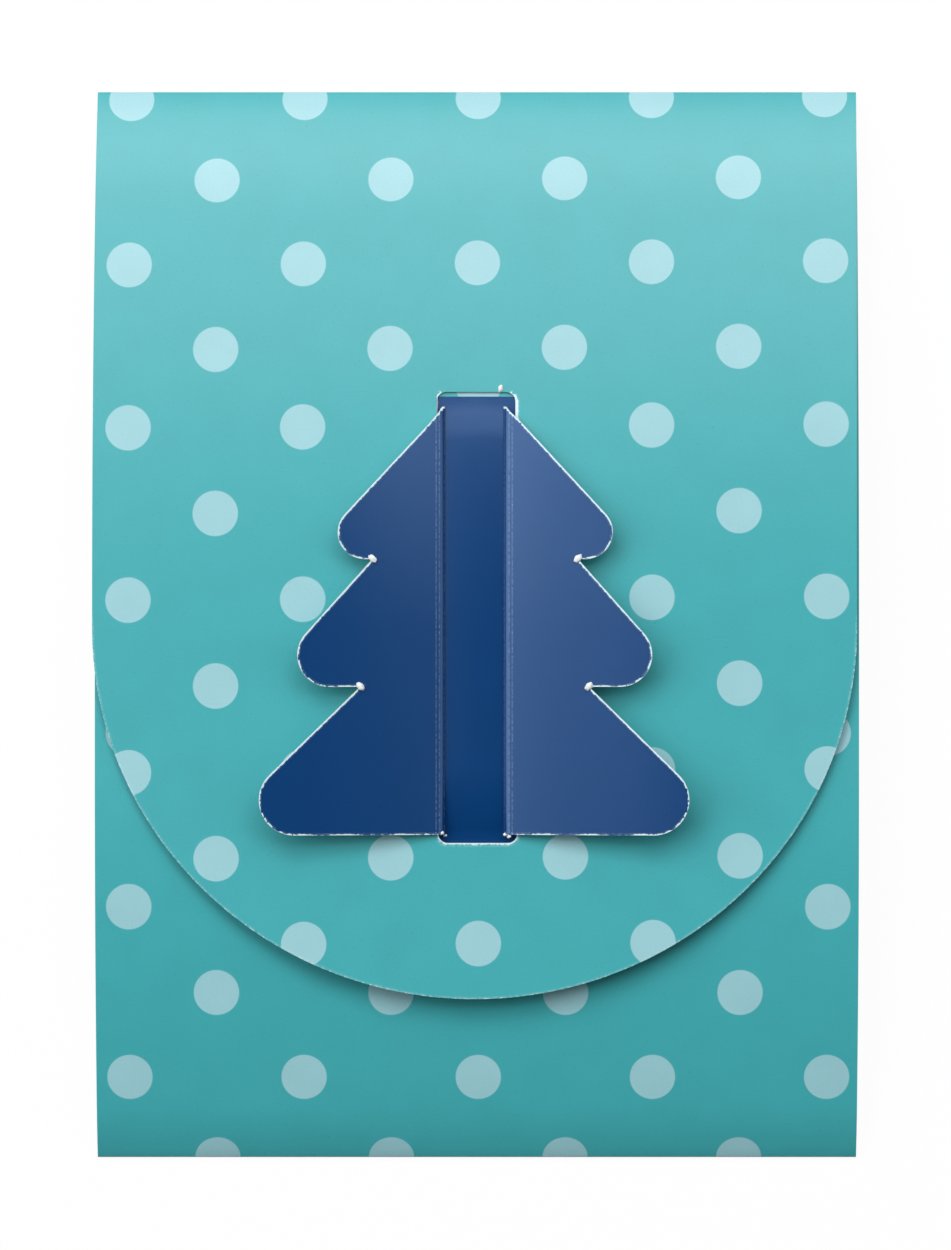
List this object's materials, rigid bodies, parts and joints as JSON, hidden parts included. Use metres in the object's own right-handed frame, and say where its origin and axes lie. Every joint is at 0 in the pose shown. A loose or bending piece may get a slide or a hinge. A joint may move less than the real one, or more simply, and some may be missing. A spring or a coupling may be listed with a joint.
{
  "type": "christmas card",
  "caption": "Small folded greeting card with a round-ended flap, locked by a tree whose two wings pass through a slot in the flap.",
  "frame": {"origin": "centre of the card's bounding box at the underside of the back panel", "axes": "+X across the card to the right as seen from the front, +Y up the card towards the fold of the flap, +Z out of the front of the card, which lies on its back"},
  "size_m": [0.1, 0.1404, 0.0146],
  "materials": {
    "printed_board": "satin"
  },
  "bodies": {
    "root": {"folded_card": "printed_board"}
  },
  "joints": []
}
